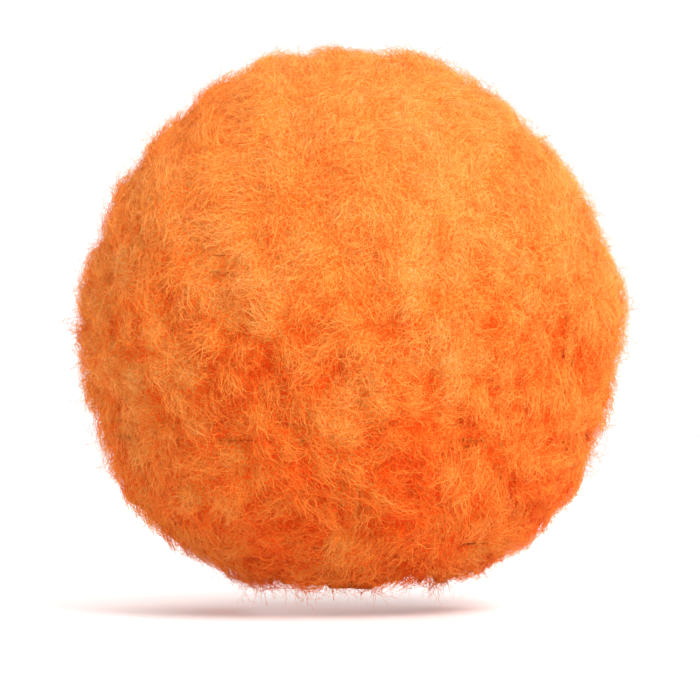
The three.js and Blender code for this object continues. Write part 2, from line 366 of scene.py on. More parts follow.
def triangles_of(node):
    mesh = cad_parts[node].data
    mesh.calc_loop_triangles()
    corner = np.empty(len(mesh.loop_triangles) * 3, np.int32)
    mesh.loop_triangles.foreach_get("vertices", corner)
    return points_of(mesh)[corner.reshape(-1, 3)]


def crossed(triangles):
    """Which way each triangle faces, twice as long as its area."""
    return np.cross(triangles[:, 1] - triangles[:, 0], triangles[:, 2] - triangles[:, 0])


def area_of(triangles):
    return float(np.linalg.norm(crossed(triangles), axis=1).sum() / 2)


def tree_of(triangles):
    corner = np.arange(len(triangles) * 3).reshape(-1, 3)
    return BVHTree.FromPolygons(triangles.reshape(-1, 3).tolist(), corner.tolist())


walls = {node: triangles_of(node) for node in HAIR_NODES}
blocks = tree_of(np.concatenate(list(walls.values())))

# %% Sort the walls
SEAM, OUTER, INNER = range(3)
SEAM_REACH = 0.0015
INNER_REACH = 0.0009
INNER_BELOW_RIM = 0.002
OFF_WALL = 2e-5  # keeps a ray from hitting the wall that it starts on


def sort_walls(triangles):
    """Says whether each wall is a seam, outer, or inner, against the head, and which way it faces."""
    middle, normal = triangles.mean(1), unit(crossed(triangles))
    kind = np.full(len(triangles), OUTER)
    on_head = np.abs(head_offset(middle) - HAIR_OFF_HEAD) < INNER_REACH
    kind[on_head & (middle[:, 2] > rim_height(middle[:, 1], -INNER_BELOW_RIM))] = INNER
    for i, (point, way) in enumerate(zip(middle, normal)):
        if blocks.ray_cast(Vector(point + way * OFF_WALL), Vector(way), SEAM_REACH)[0] is not None:
            kind[i] = SEAM
    return kind, normal


sorted_walls = {node: sort_walls(walls[node]) for node in HAIR_NODES}


def walls_of(node, wanted):
    """A block's walls of one kind, and which way they face."""
    kind, normal = sorted_walls[node]
    return walls[node][kind == wanted], normal[kind == wanted]


outside, outside_normal = map(np.concatenate, zip(*(walls_of(node, OUTER) for node in HAIR_NODES)))
skin = tree_of(outside)
OUTSIDE_AREA = area_of(outside)
print("outer walls:", len(outside), "over", round(OUTSIDE_AREA * 1e4), "square centimetres")


# %% [markdown]
# ## Locks
#
# Teased hair gathers in soft locks the size of a thumb. Each lock leans its own way, with its
# neighbours, and hangs more the lower it is. So the ball first gets a set of lock centres, spread
# evenly, each with a direction, a colour and a bulge. The colour differs at random and carries painted
# shade, deeper on the lower locks. Both the felt under the surface and the fibres on it follow them.

# %% Random points on the walls
def scatter(rng, triangles, count):
    """Points spread by area over triangles, and which triangle each is on."""
    area = np.linalg.norm(crossed(triangles), axis=1)
    chosen = rng.choice(len(triangles), count, p=area / area.sum())
    a, b = rng.random((2, count))
    over = a + b > 1
    a[over], b[over] = 1 - a[over], 1 - b[over]
    first, second, third = (triangles[chosen, i] for i in range(3))
    return first + a[:, None] * (second - first) + b[:, None] * (third - first), chosen


# %% Lock centres
LOCK_SPACING = 0.017
LOCK_TRIES = 9000
EDGE_ROUND = 0.010  # how far round an edge the locks turn
HANG_FROM, HANG_OVER = -0.06, 0.15  # the height where locks start to hang, and how far down they all do
rng = np.random.default_rng(7)


def waves(points, wavelength, seed):
    """A smooth random direction at each point."""
    made = np.random.default_rng(seed)
    total = np.zeros_like(points)
    for _ in range(4):
        way = unit(made.normal(size=3)) * 2 * math.pi / wavelength
        total += np.sin(points @ way + made.uniform(0, 2 * math.pi))[:, None] * unit(made.normal(size=3))
    return total


def tangent(vectors, normals):
    return vectors - (vectors * normals).sum(1, keepdims=True) * normals


def spread_locks():
    point, chosen = scatter(rng, outside, LOCK_TRIES)
    kept = []
    for i, p in enumerate(point):
        if not kept or np.min(((point[kept] - p) ** 2).sum(1)) > LOCK_SPACING**2:
            kept.append(i)
    return point[kept], outside_normal[chosen[kept]]


# Locks lean in broad and narrow waves over the ball, with a little of their own, and hang.
BROAD, NARROW, OWN_LEAN = 0.15, 0.06, 0.45
HANG_LEAST, HANG_MORE = 0.25, 1.3
DOWN = np.array([0, 0, -1.0])
lock_at, lock_normal = spread_locks()
low = np.clip((HANG_FROM - lock_at[:, 2]) / HANG_OVER, 0, 1)[:, None]
lean = waves(lock_at, BROAD, 1) * 0.9 + waves(lock_at, NARROW, 2) * 0.8
lean += rng.normal(size=lock_at.shape) * OWN_LEAN + DOWN * (HANG_LEAST + HANG_MORE * low)
lock_way = unit(tangent(lean, lock_normal))


SMOOTH_ABOVE, ROUGH_OVER = 0.08, 0.17
TONE_TOP, PAINTED_SHADE_FALL = 0.78, 0.33  # how pale the upper locks are, and how much deeper the lowest are painted, as shade


def teasing(points):
    """How rough the hair is, from the smooth crown down."""
    return np.clip((SMOOTH_ABOVE - points[:, 2]) / ROUGH_OVER, 0.25, 1)


drift = waves(lock_at, 0.09, 3)[:, 0] * 0.10 + rng.normal(size=len(lock_at)) * 0.08
# Painted shade: the lower locks are given a deeper colour, as less light reaches them from above; drift is
# colour that differs at random.
lock_tone_and_shade = np.clip(TONE_TOP - PAINTED_SHADE_FALL * low[:, 0] + drift * teasing(lock_at), 0, 1)
lock_bulge = np.clip(1 - np.abs(rng.normal(0, 0.5, len(lock_at))) * teasing(lock_at), 0, 1)
print("locks:", len(lock_at))


def swell(points):
    """How far the ball stands out of or inside a true round at each point."""
    return 0.0032 * waves(points, 0.10, 21)[:, 0] + 0.0016 * waves(points, 0.045, 22)[:, 0]


def nearest_lock(points, batch=4000):
    """The lock of each point, how far its middle is, and the mean way out of the locks near it."""
    found = np.empty(len(points), int)
    gap = np.empty(len(points))
    out = np.empty_like(points)
    for start in range(0, len(points), batch):
        part = slice(start, start + batch)
        square = ((points[part, None, :] - lock_at[None]) ** 2).sum(2)
        found[part] = square.argmin(1)
        gap[part] = np.sqrt(square.min(1))
        out[part] = np.exp(-square / (2 * EDGE_ROUND**2)) @ lock_normal
    return found, gap, unit(out)


def rounded(out, flat):
    """The way out, turned over edges but kept near the wall's own where the two disagree."""
    agree = np.clip((out * flat).sum(1), 0, 1)[:, None]
    turned = unit(out * agree + flat * (1 - agree))
    return turned, np.clip(1 - (turned * flat).sum(1), 0, 1)


FLAT_NEAR_HEAD = 0.03


def near_head(points):
    """1 on the walls that face the neck and cheeks, where the hair lies flat, and 0 away from them."""
    return np.clip(1 - head_offset(points) / FLAT_NEAR_HEAD, 0, 1)


# %% [markdown]
# ## Felt under the surface
#
# A few millimetres in, the fibres lie so close that they look like felt. Each block is remeshed to an
# even skin, and its outer wall is drawn in and pressed between the locks, so that light and shade
# follow them. The walls on the head stay where they are, and those at seams reach a little into the
# next block, so that no crack shows between the two.

# %% Felt
FELT_VOXEL = 0.005
FELT_INSET = 0.004
FELT_HOLLOW = 0.006
FELT_SKIN = 0.004  # how near the wall a point counts as on it
LOCK_REACH = 0.85 * LOCK_SPACING  # from a lock's middle to the hollow beside it
SEAM_NEAR = 0.008
SEAM_PUSH = 0.006
SEAM_LIFT = 0.45  # how much less deep the felt lies where two blocks meet
SAME_WAY = 0.7  # seams that face more alike than this push as one

def deselect():
    bpy.ops.object.select_all(action="DESELECT")


def apply_modifier(made, name, kind, **settings):
    deselect()
    made.select_set(True)
    bpy.context.view_layer.objects.active = made
    modifier = made.modifiers.new(name, kind)
    for key, value in settings.items():
        setattr(modifier, key, value)
    bpy.ops.object.modifier_apply(modifier=modifier.name)


def remeshed(node):
    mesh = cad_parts[node].data.copy()
    shape = bmesh.new()
    shape.from_mesh(mesh)
    bmesh.ops.remove_doubles(shape, verts=shape.verts, dist=2e-5)
    shape.to_mesh(mesh)
    shape.free()
    mesh.materials.clear()
    felt = add_object(node.replace("_hair", "_felt"), mesh)
    apply_modifier(felt, "even_skin", "REMESH", mode="VOXEL", voxel_size=FELT_VOXEL)
    return felt


def lump(points):
    """How deep the felt lies under the wall at each point, from the locks round it."""
    lock, gap, out = nearest_lock(points)
    round_top = np.clip(1 - (gap / LOCK_REACH) ** 2, 0, 1)
    ripple = waves(points, 0.013, 11)[:, 0] * 0.0012
    depth = FELT_INSET + FELT_HOLLOW * teasing(points) * (1 - round_top * lock_bulge[lock]) + ripple
    return depth - swell(points), lock, out


def close_seams(place, node):
    """Pushes the points at seams a little into the next block, and says how near a seam each is."""
    seam, seam_normal = walls_of(node, SEAM)
    tree = tree_of(seam)
    near = np.zeros(len(place))
    for i, p in enumerate(place):
        pushed = []
        hits = tree.find_nearest_range(Vector(p), SEAM_NEAR)
        for _, _, index, gap in sorted(hits, key=lambda hit: hit[3]):
            near[i] = max(near[i], 1 - gap / SEAM_NEAR)
            way = seam_normal[index]
            if all(way @ other < SAME_WAY for other in pushed):
                pushed.append(way)
                place[i] += way * SEAM_PUSH * (1 - gap / SEAM_NEAR)
    return near


def press_felt(felt, node):
    """Moves the felt's points, and gives the lock that each follows."""
    place = points_of(felt.data)
    near_seam = close_seams(place, node)
    found = [skin.find_nearest(Vector(p)) for p in place]
    wall, gap = np.array([f[0] for f in found]), np.array([f[3] for f in found])
    flat_way = outside_normal[[f[2] for f in found]]
    # A slanting seam pushes points out of the ball, and these go back to its wall.
    proud = (((place - wall) * flat_way).sum(1) > 0) & (gap < SEAM_PUSH)
    place[proud], gap[proud] = wall[proud], 0
    depth, lock, way = lump(place)
    way, sharp = rounded(way, flat_way)
    share = np.clip(1 - (gap - FELT_SKIN) / FELT_SKIN, 0, 1) * (1 - SEAM_LIFT * near_seam)
    place -= way * (depth * share * (1 + 2 * sharp))[:, None]  # edges are drawn in further
    felt.data.vertices.foreach_set("co", place.ravel())
    felt.data.update()
    return lock


felts = {node: remeshed(node) for node in HAIR_NODES}
felt_locks = {node: press_felt(felt, node) for node, felt in felts.items()}
print("felt faces:", sum(len(f.data.polygons) for f in felts.values()))

# %% [markdown]
# ## Fibres
#
# Each fibre is a closed, three-sided rod that narrows to a point, bent in the small even waves that
# the crimping iron leaves. It starts in the felt, comes up through the surface, and lies over the way
# its lock leans. Rods are used because a renderer's own hair does not leave the program as a mesh.

# %% Rods along many paths at once
SIDES = 3
TAPER = 0.65


def rods(path, thick, rng):
    """Closed rods along paths (count, rings, 3). The last ring is a single point."""
    count, rings, _ = path.shape
    way = unit(np.gradient(path, axis=1))
    across = unit(np.cross(way, unit(rng.normal(size=(count, 1, 3)))))
    up = np.cross(way, across)
    turn = np.arange(SIDES) * 2 * math.pi / SIDES
    share = np.linspace(0, 1, rings)[None, :-1, None, None]
    radius = thick[:, None, None, None] * (1 - TAPER * share**2)
    ring = across[:, :-1, None] * np.cos(turn)[:, None] + up[:, :-1, None] * np.sin(turn)[:, None]
    body = path[:, :-1, None] + ring * radius
    points = np.concatenate([body.reshape(count, -1, 3), path[:, -1:]], 1)
    each = (rings - 1) * SIDES + 1
    quads, triangles = [], [[2, 1, 0]]
    for r in range(rings - 2):
        for s in range(SIDES):
            a, b = r * SIDES + s, r * SIDES + (s + 1) % SIDES
            quads.append([a, b, b + SIDES, a + SIDES])
    last = (rings - 2) * SIDES
    triangles += [[last + s, last + (s + 1) % SIDES, each - 1] for s in range(SIDES)]
    along = np.append(np.repeat(np.linspace(0, 1, rings)[:-1], SIDES), 1.0)
    base = (np.arange(count) * each)[:, None, None]
    return (
        points.reshape(-1, 3),
        (base + np.array(quads)).reshape(-1, 4),
        (base + np.array(triangles)).reshape(-1, 3),
        np.tile(along, count),
        each,
    )


def crimped(path, size, turns, rng):
    """Adds the iron's waves to smooth paths, mostly in one plane for each fibre."""
    count, rings, _ = path.shape
    way = unit(np.gradient(path, axis=1))
    across = unit(np.cross(way, unit(rng.normal(size=(count, 1, 3)))))
    up = np.cross(way, across)
    phase = rng.uniform(0, 2 * math.pi, (count, 1))
    turn = phase + np.linspace(0, 1, rings)[None] * turns[:, None] * 2 * math.pi
    size = size[:, None] * np.minimum(1, 3 * np.linspace(0, 1, rings))[None]
    size = size * rng.uniform(0.6, 1.3, (count, rings))
    return path + (across * np.cos(turn)[..., None] + up * (0.5 * np.sin(turn))[..., None]) * size[..., None]


def curve_through(a, b, c, rings):
    t = np.linspace(0, 1, rings)[None, :, None]
    return (1 - t) ** 2 * a[:, None] + 2 * t * (1 - t) * b[:, None] + t**2 * c[:, None]


# %% Fibres of one block
FIBRES = 44000
FIBRE_RINGS = 6
FIBRE_THICK = 0.00018  # the radius at the root
THICKER = (0.7, 1.3)
FIBRE_LONG = (0.008, 0.022)
FIBRE_DEEP = (0.007, 0.012)  # how far in the felt it starts
FIBRE_CRIMP, FIBRE_TURNS = (0.0008, 0.0022), (1.2, 2.4)
EDGE_DRAW = 0.030  # how far edges are drawn in, at a full turn
HEAD_DRAW = 0.003
TO_TIP = 0.45  # how far at most a fibre's end is drawn to its lock's tip


def roots(node, total, rng):
    """Where a block's share of fibres come out, their locks and how far off, the ways out, and edges."""
    wall, normal = walls_of(node, OUTER)
    point, chosen = scatter(rng, wall, int(total * area_of(wall) / OUTSIDE_AREA))
    lock, gap, out = nearest_lock(point)
    return point, lock, gap, *rounded(out, normal[chosen])


def surface_fibres(node, rng):
    point, lock, gap, out, sharp = roots(node, FIBRES, rng)
    count = len(point)
    point = point - out * (EDGE_DRAW * sharp + HEAD_DRAW * near_head(point))[:, None]
    out = unit(out + unit(point - lock_at[lock]) * np.minimum(gap / LOCK_SPACING, 1)[:, None] * 0.35)
    way = unit(tangent(lock_way[lock] + rng.normal(size=(count, 3)) * 0.8, out))
    long = rng.uniform(*FIBRE_LONG, count)[:, None]
    hollow = np.clip(gap / LOCK_REACH, 0, 1)[:, None] ** 2 * teasing(point)[:, None]
    sunk = FELT_HOLLOW * 0.75 * hollow
    point = point + out * swell(point)[:, None]
    start = point - out * rng.uniform(*FIBRE_DEEP, count)[:, None] - way * 0.3 * long
    knee = point + out * (rng.uniform(-0.001, 0.003, count)[:, None] - sunk)
    end = point + way * long + out * (rng.normal(-0.001, 0.0025, count)[:, None] - sunk)
    tip = lock_at[lock] + lock_way[lock] * 0.016 + lock_normal[lock] * 0.001
    end = end + (tip - end) * rng.uniform(0, TO_TIP, count)[:, None]
    path = curve_through(start, knee, end, FIBRE_RINGS)
    path = crimped(path, rng.uniform(*FIBRE_CRIMP, count), rng.uniform(*FIBRE_TURNS, count), rng)
    thick = rng.uniform(*THICKER, count) * FIBRE_THICK
    # Painted shade: fibres that rise from the hollows between locks are given a deeper colour.
    tone = np.clip(lock_tone_and_shade[lock] + rng.normal(size=count) * 0.14 - 0.38 * hollow[:, 0], 0, 1)
    return path, thick, tone


# %% Stray ends
STRAYS = 5600
STRAY_RINGS = 10
STRAY_THICK = 0.00013
STRAY_CRIMP, STRAY_TURNS = (0.0006, 0.002), (2.0, 4.5)
STRAY_REACH = 0.012  # the furthest that one stands off the ball
FREE_OF_HEAD = 0.02


def stray_fibres(node, rng):
    point, lock, _, out, _ = roots(node, STRAYS, rng)
    free = head_offset(point) > FREE_OF_HEAD
    point, lock, out = point[free], lock[free], out[free]
    count = len(point)
    way = unit(tangent(lock_way[lock] * 0.5 + rng.normal(size=(count, 3)), out))
    point = point + out * swell(point)[:, None]
    reach = np.minimum(rng.gamma(2.2, 0.0026, count), STRAY_REACH)[:, None]
    start = point - out * 0.008
    knee = point + out * reach * 1.2 + way * rng.uniform(-0.004, 0.006, count)[:, None]
    end = point + out * reach * rng.uniform(0.3, 1.0, count)[:, None]
    end = end + way * rng.uniform(0.006, 0.018, count)[:, None]
    path = curve_through(start, knee, end, STRAY_RINGS)
    path = crimped(path, rng.uniform(*STRAY_CRIMP, count), rng.uniform(*STRAY_TURNS, count), rng)
    thick = rng.uniform(*THICKER, count) * STRAY_THICK
    return path, thick, np.clip(rng.normal(0.55, 0.2, count), 0, 1)


# %% [markdown]
# The hair's paint. Synthetic hair is dyed in the mass, so its own colour varies little: fibres at the
# ends of the locks are thin, and painted paler there as light passes through them; the hollows between
# locks, the felt and the lower locks are painted deep orange, as shade in which the light has bounced
# from fibre to fibre. A soft sheen stands for the fuzz too fine to model.

# %% Hair paint
DEEP, RUST, ORANGE, PALE = (0.98, 0.045, 0.0), (1.0, 0.13, 0.004), (1.0, 0.34, 0.05), (1.0, 0.52, 0.18)
# The ramp holds the dye's oranges; its deep end is reached through painted shade and its pale end through
# painted light on the fibre ends.
DYE_LIGHT_AND_SHADE = [(0.1, DEEP), (0.38, RUST), (0.66, ORANGE), (1.0, PALE)]


def scribbles(paint):
    """Thin curly lines, one set over another, as fibres that lie in the felt."""
    large = (1 - (paint.noise(330, 2, 0.6) - 0.5).size() * 13).clamp()
    small = (1 - (paint.noise(610, 2, 0.6, distortion=0.6) - 0.5).size() * 9).clamp()
    return large * 0.6 + small * 0.5


def hair_paint(name, roughness, lift, scribble=0.0):
    paint = Paint(
        name,
        Roughness=roughness,
        Sheen_Weight=0.12,
        Sheen_Roughness=0.5,
        Sheen_Tint=(1.0, 0.4, 0.1, 1),
        Specular_IOR_Level=0.12,
    )
    drift = paint.noise(14, 2)
    fleck = paint.noise(420, 2, 0.7)
    shade = paint.attribute("tone") * 0.42 + drift * 0.3 + fleck * 0.22
    # Painted light and shade: the fibres are paler towards their thin ends, as light passes through them,
    # and deeper at the roots, in the shade of the mass.
    shade = shade + paint.attribute("along") * 0.26 + lift
    if scribble:
        lines = scribbles(paint)
        shade = shade + lines * scribble - 0.2
        paint.bump(lines, 0.0012)
    paint.feed("Base Color", paint.ramp(shade, DYE_LIGHT_AND_SHADE))
    return paint


# Painted shade: the felt is painted deeper than the fibres over it, by its lower lift and the lowered ground
# under its scribbles, as the shade under the surface.
fibre_paint = hair_paint("dyed_fibre", 0.62, -0.02)
felt_paint = hair_paint("teased_felt", 0.85, -0.04, scribble=0.5)


# %% Fibres along the cap's edge
EDGE_FIBRES = 5200
EDGE_ROW_OFF, EDGE_ROW_RISE = 0.0034, (0.0002, 0.0042)
EDGE_LONG = (0.012, 0.030)
EDGE_OVER = (-0.001, 0.007)  # how far a fibre hangs over the edge
EDGE_CRIMP, EDGE_TURNS = (0.0006, 0.0018), (1.2, 2.6)


def edge_fibres(rng):
    """The outermost row, whose fibres hide the header and the binding round the face and nape."""
    bearing = rng.uniform(-math.pi, math.pi, EDGE_FIBRES)
    rise = rng.uniform(*EDGE_ROW_RISE, EDGE_FIBRES)
    def at(rise, off):
        return follow(bearing, lambda y: rim_height(y, rise), np.full(EDGE_FIBRES, off))

    root, inner, below = at(rise, EDGE_ROW_OFF), at(rise, 0.0), at(rise - 0.004, EDGE_ROW_OFF)
    out, down = unit(root - inner), unit(below - root)
    lean = unit(tangent(rng.normal(size=(EDGE_FIBRES, 3)), out))
    long = rng.uniform(*EDGE_LONG, EDGE_FIBRES)[:, None]
    over = rng.uniform(*EDGE_OVER, EDGE_FIBRES)[:, None]
    knee = root + out * long * (0.45 - 35 * np.maximum(over, 0)) + down * over
    end = root + out * long * rng.uniform(0.6, 1.0, EDGE_FIBRES)[:, None] + lean * long * 0.4
    path = curve_through(root, knee, end + down * 0.002, FIBRE_RINGS)
    crimp, turns = rng.uniform(*EDGE_CRIMP, EDGE_FIBRES), rng.uniform(*EDGE_TURNS, EDGE_FIBRES)
    path = crimped(path, crimp, turns, rng)
    tone = np.clip(rng.normal(0.45, 0.16, EDGE_FIBRES), 0, 1)
    return path, rng.uniform(*THICKER, EDGE_FIBRES) * FIBRE_THICK, tone


# %% Build each block's hair as one mesh
def mesh_from(name, parts, materials):
    """One mesh from parts of (points, quads, triangles, {attribute: values}, material number)."""
    point, corner, size, slot = [], [], [], []
    values = {"tone": [], "along": []}
    start = 0
    for points, quads, triangles, attributes, material in parts:
        point.append(points)
        for face in (quads, triangles):
            if len(face):
                corner.append((np.asarray(face) + start).ravel())
                size.append(np.full(len(face), np.shape(face)[1]))
                slot.append(np.full(len(face), material))
        for key, kept in values.items():
            kept.append(attributes[key])
        start += len(points)
    mesh = bpy.data.meshes.new(name)
    mesh.vertices.add(start)
    mesh.vertices.foreach_set("co", np.concatenate(point).astype(np.float32).ravel())
    corner, size = np.concatenate(corner), np.concatenate(size)
    mesh.loops.add(len(corner))
    mesh.loops.foreach_set("vertex_index", corner.astype(np.int32))
    mesh.polygons.add(len(size))
    mesh.polygons.foreach_set("loop_start", (np.cumsum(size) - size).astype(np.int32))
    for material in materials:
        mesh.materials.append(material)
    mesh.polygons.foreach_set("material_index", np.concatenate(slot).astype(np.int32))
    mesh.update(calc_edges=True)
    mesh.polygons.foreach_set("use_smooth", np.ones(len(size), bool))
    for key, kept in values.items():
        layer = mesh.attributes.new(key, "FLOAT", "POINT")
        layer.data.foreach_set("value", np.concatenate(kept).astype(np.float32))
    return mesh


def felt_part(node):
    mesh, lock = felts[node].data, felt_locks[node]
    place = points_of(mesh)
    gap = np.linalg.norm(place - lock_at[lock], axis=1)
    hollow = np.clip(gap / LOCK_SPACING, 0, 1.2) ** 2 * teasing(place)
    # Painted shade: the felt is given a deeper colour in the hollows between locks.
    tone = np.clip(lock_tone_and_shade[lock] - 0.46 * hollow, 0, 1)
    quads, triangles = ([tuple(p.vertices) for p in mesh.polygons if len(p.vertices) == n] for n in (4, 3))
    # Painted shade: the felt takes the along of a fibre near its root, so it is painted as deep as the
    # roots.
    return place, quads, triangles, {"tone": tone, "along": np.full(len(place), 0.2)}, 1


def rod_part(path, thick, tone, rng):
    points, quads, triangles, along, each = rods(path, thick, rng)
    return points, quads, triangles, {"tone": np.repeat(tone, each), "along": along}, 0


def hair_piece(name, parts, materials):
    hair = add_object(name, mesh_from(name, parts, materials))
    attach(hair, "wig")
    return hair


def build_hair(number, node):
    rng = np.random.default_rng(100 + number)
    parts = [felt_part(node)]
    parts.append(rod_part(*surface_fibres(node, rng), rng))
    parts.append(rod_part(*stray_fibres(node, rng), rng))
    name = node.replace("_hair", "_curls")
    hair = hair_piece(name, parts, [fibre_paint.material, felt_paint.material])
    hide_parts(node)
    bpy.data.objects.remove(felts[node])
    return hair


def build_hairline():
    rng = np.random.default_rng(90)
    return hair_piece("hairline_curls", [rod_part(*edge_fibres(rng), rng)], [fibre_paint.material])


hair_pieces = [build_hair(number, node) for number, node in enumerate(HAIR_NODES)]
hair_pieces.append(build_hairline())
faces = [sum(len(p.vertices) - 2 for p in hair.data.polygons) for hair in hair_pieces]
print("hair triangles:", sum(faces), "most in one:", max(faces))

# %% [markdown]
# ## The cap
#
# Inside, the wig is an open cap: a bound edge round the face and nape, stretch tapes up to the crown,
# and rows of hair headers sewn across them. All of these are strips that lie on the head. So one
# function bends a strip onto the head, and each strip only says where its length and width run. The
# strip also gets a UV map in metres, which the weaves and stitches below follow.

# %% A strip bent onto the head
def skinned(name, points, faces, uv):
    """A smooth mesh with its faces outwards, and a UV map in metres."""
    mesh = bpy.data.meshes.new(name)
    mesh.from_pydata(points, [], faces)
    layer = mesh.uv_layers.new(name="cloth")
    layer.data.foreach_set("uv", np.array(uv, np.float32).ravel())
    shape = bmesh.new()
    shape.from_mesh(mesh)
    if shape.calc_volume(signed=True) < 0:
        bmesh.ops.reverse_faces(shape, faces=shape.faces)
    shape.to_mesh(mesh)
    shape.free()
    mesh.polygons.foreach_set("use_smooth", np.ones(len(mesh.polygons), bool))
    return mesh


def loop_mesh(name, rings, closed, along, across):
    """Skins closed outlines (rings, count, 3) one after another."""
    n, m, _ = rings.shape
    faces, uv = [], []
    for i in range(n if closed else n - 1):
        for j in range(m):
            k, l = (i + 1) % n, (j + 1) % m
            faces.append((i * m + j, i * m + l, k * m + l, k * m + j))
            uv += [(along[i], across[j]), (along[i], across[l])]
            uv += [(along[i + 1], across[l]), (along[i + 1], across[j])]
    if not closed:
        for i, order in ((0, range(m - 1, -1, -1)), (n - 1, range(m))):
            faces.append(tuple(i * m + j for j in order))
            uv += [(along[i], across[j]) for j in order]
    return skinned(name, rings.reshape(-1, 3).tolist(), faces, uv)


def strip(name, place, width, low, high, steps, closed=False, roll=0.0, wide_steps=6):
    """A flat strip with rounded edges. place(share along, share across, off) puts it on the head."""
    edge = min(0.5 * (high - low) / width, 0.2)
    share = np.linspace(edge, 1 - edge, wide_steps)
    thick = 1 + roll * np.exp(-((share / 0.12) ** 2))
    middle = (low + high) / 2
    across = np.concatenate([share, [1.0], share[::-1], [0.0]])
    low_side = middle - (high - low) / 2 * thick
    off = np.concatenate([np.full(wide_steps, high), [middle], low_side[::-1], [middle]])
    u = np.linspace(0, 1, steps + 1)
    rings = place((u[:-1] if closed else u)[:, None], across[None], off[None])
    centre = place(u, np.full(steps + 1, 0.5), np.full(steps + 1, middle))
    length = np.concatenate([[0], np.cumsum(np.linalg.norm(np.diff(centre, axis=0), axis=1))])
    made = add_object(name, loop_mesh(name, rings, closed, length, across * width))
    made["length"] = float(length[-1])
    return made


def finish_piece(made, paint, node, body="wig"):
    made.data.materials.clear()
    made.data.materials.append(paint.material)
    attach(made, body)
    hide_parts(node)
    return made


# %% [markdown]
# ## Weaves and stitches
#
# Elastic tape is rubber cords under a close cover, so it has fine ribs along it. Binding is a smooth
# knit. Both read the strip's own UV map, so the ribs bend with the strip. Stitches are short raised
# dashes in a row, or a zigzag where a stretch seam has to give.


# %% Cloth helpers
def cloth_axes(paint):
    """Distances along and across a strip, in metres."""
    uv = paint.node("ShaderNodeUVMap", dict(uv_map="cloth"))
    split = paint.node("ShaderNodeSeparateXYZ", None, [uv])
    return split, Wire(paint, split.socket.node.outputs["Y"])


def wave(value, length):
    return (value * (2 * math.pi / length)).sine() * 0.5 + 0.5


def line_at(value, centre, half):
    """1 on a line, rounded off to 0 at half its width."""
    return (1 - (value - centre).size() / half).clamp()


def stitch_row(along, across, centre, pitch=0.0026, half=0.00035):
    dash = (wave(along, pitch) - 0.25).clamp() * 2
    return line_at(across, centre, half) * dash.clamp()


def zigzag(along, across, centre, swing, pitch=0.003, half=0.0004):
    teeth = along.apply("PINGPONG", pitch / 2) * (2 * swing / (pitch / 2))
    return line_at(across - teeth, centre - swing, half)


# %% Cloths
STRAP_WIDTH, BAND_WIDTH, TRACK_WIDTH = 0.009, 0.020, 0.005
CHARCOAL, SOOT, THREAD = (0.016, 0.014, 0.013), (0.060, 0.053, 0.048), (0.12, 0.105, 0.095)
MIX_FACTOR, MIX_FROM, MIX_TO, MIX_RESULT = 0, 6, 7, 2  # a colour Mix node's sockets


def cloth_paint(
    name, stitches, dark=CHARCOAL, light=SOOT, thread=THREAD,
    rib=0.0011, pick=0.0007, roughness=0.8, depth=0.0003,
):
    """A ribbed or knitted cloth with rows of stitching. stitches are functions of the two distances."""
    paint = Paint(name, Roughness=roughness, Sheen_Weight=0.15, Specular_IOR_Level=0.3)
    along, across = cloth_axes(paint)
    ribs = wave(across, rib)
    picks = wave(along, pick)
    weave = ribs * 0.65 + picks * 0.35
    worn = paint.noise(160, 3, 0.6)
    sewn = None
    for row in stitches:
        made = row(along, across)
        sewn = made if sewn is None else sewn.apply("MAXIMUM", made)
    shade = paint.ramp(weave * 0.6 + worn * 0.5, [(0.2, dark), (0.85, light)])
    height = weave
    if sewn is not None:
        colours = {MIX_FACTOR: sewn.clamp(), MIX_FROM: shade, MIX_TO: (*thread, 1)}
        shade = paint.node("ShaderNodeMix", dict(data_type="RGBA"), colours, output=MIX_RESULT)
        height = weave * (1 - sewn.clamp()) + sewn * 2.2
    paint.feed("Base Color", shade)
    paint.bump(height, depth)
    return paint


webbing = cloth_paint("stretch_webbing", [lambda a, c: zigzag(a, c, STRAP_WIDTH / 2, 0.0018, 0.0036)])
SMOOTH_KNIT = dict(
    dark=(0.020, 0.017, 0.016), light=(0.055, 0.048, 0.044), rib=0.0008, pick=0.0008, depth=0.00022
)
binding = cloth_paint(
    "edge_binding",
    [
        lambda a, c: stitch_row(a, c, 0.0036),
        lambda a, c: stitch_row(a, c, 0.0054),
        lambda a, c: stitch_row(a, c, BAND_WIDTH - 0.0022),
    ],
    **SMOOTH_KNIT,
)
nape_elastic = cloth_paint(
    "nape_elastic",
    [lambda a, c: zigzag(a, c, 0.004, 0.0014), lambda a, c: zigzag(a, c, BAND_WIDTH - 0.003, 0.0014)],
    rib=0.0022,
    pick=0.0012,
    depth=0.0006,
)
header = cloth_paint(
    "weft_header",
    [lambda a, c: stitch_row(a, c, 0.0013, 0.002), lambda a, c: zigzag(a, c, 0.0032, 0.0009, 0.0024)],
    dark=(0.50, 0.07, 0.004),
    light=(1.0, 0.30, 0.04),
    thread=(1.0, 0.46, 0.13),
    rib=0.005,
    pick=0.0006,
    roughness=0.75,
    depth=0.0004,
)
print("cloths:", [paint.material.name for paint in (webbing, binding, nape_elastic, header)])

# %% [markdown]
# ## Bands round the edge
#
# The front and side bands are binding folded over the cap's raw edge, so the lowest few millimetres
# are a thicker roll. The nape is a broad elastic instead, which is what holds the wig on.

# %% Bands
FRONT_SEAM, NAPE_SEAM, SEAM_GAP = -0.056, 0.040, 0.0002
BAND_LOW, BAND_HIGH = 0.0003, 0.0019


def band_place(start, end, mirror=1):
    """start and end give the bearing at a share of the band's width."""

    def place(along, across, off):
        rise = across * BAND_WIDTH
        from_, to = np.interp(across, *start), np.interp(across, *end)
        bearing = from_ + (to - from_) * along
        return follow(mirror * bearing, lambda y: rim_height(y, rise), off + 0 * bearing)

    return place


def seam_bearings(y):
    share = np.linspace(0, 1, 6)
    return share, [bearing_at(y, lambda v, s=s: rim_height(v, s * BAND_WIDTH)) for s in share]


